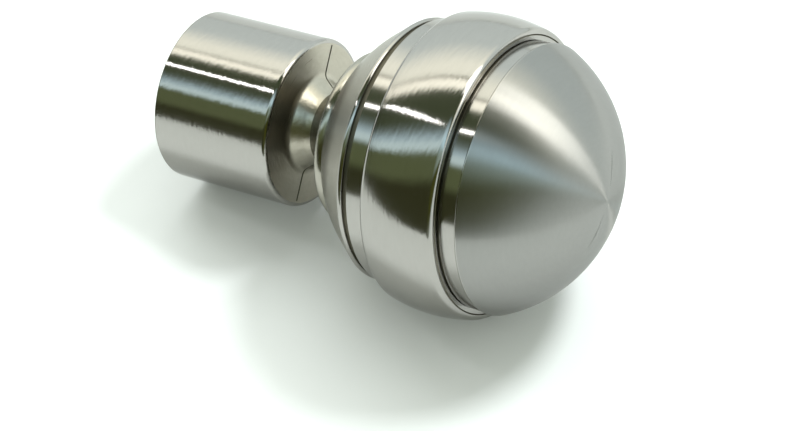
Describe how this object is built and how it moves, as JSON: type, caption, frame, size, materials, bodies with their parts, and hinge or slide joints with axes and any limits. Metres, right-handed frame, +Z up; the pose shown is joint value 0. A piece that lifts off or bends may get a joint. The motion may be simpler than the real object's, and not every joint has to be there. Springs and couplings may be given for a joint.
{
  "type": "curtain pole finial",
  "caption": "Ball finial for a round curtain pole, satin nickel look, with a socketed collar, waisted neck, raised band and grub screw.",
  "frame": {"origin": "centre of the socket's floor, where the end of the pole stops", "axes": "+X along the pole axis towards the tip of the ball, +Z up as the pole hangs, with the grub screw on the underside"},
  "size_m": [0.0952, 0.0608, 0.0608],
  "materials": {
    "satin_nickel": "satin",
    "screw_steel": "satin"
  },
  "bodies": {
    "root": {"finial_body": "satin_nickel", "grub_screw": "screw_steel"}
  },
  "joints": []
}
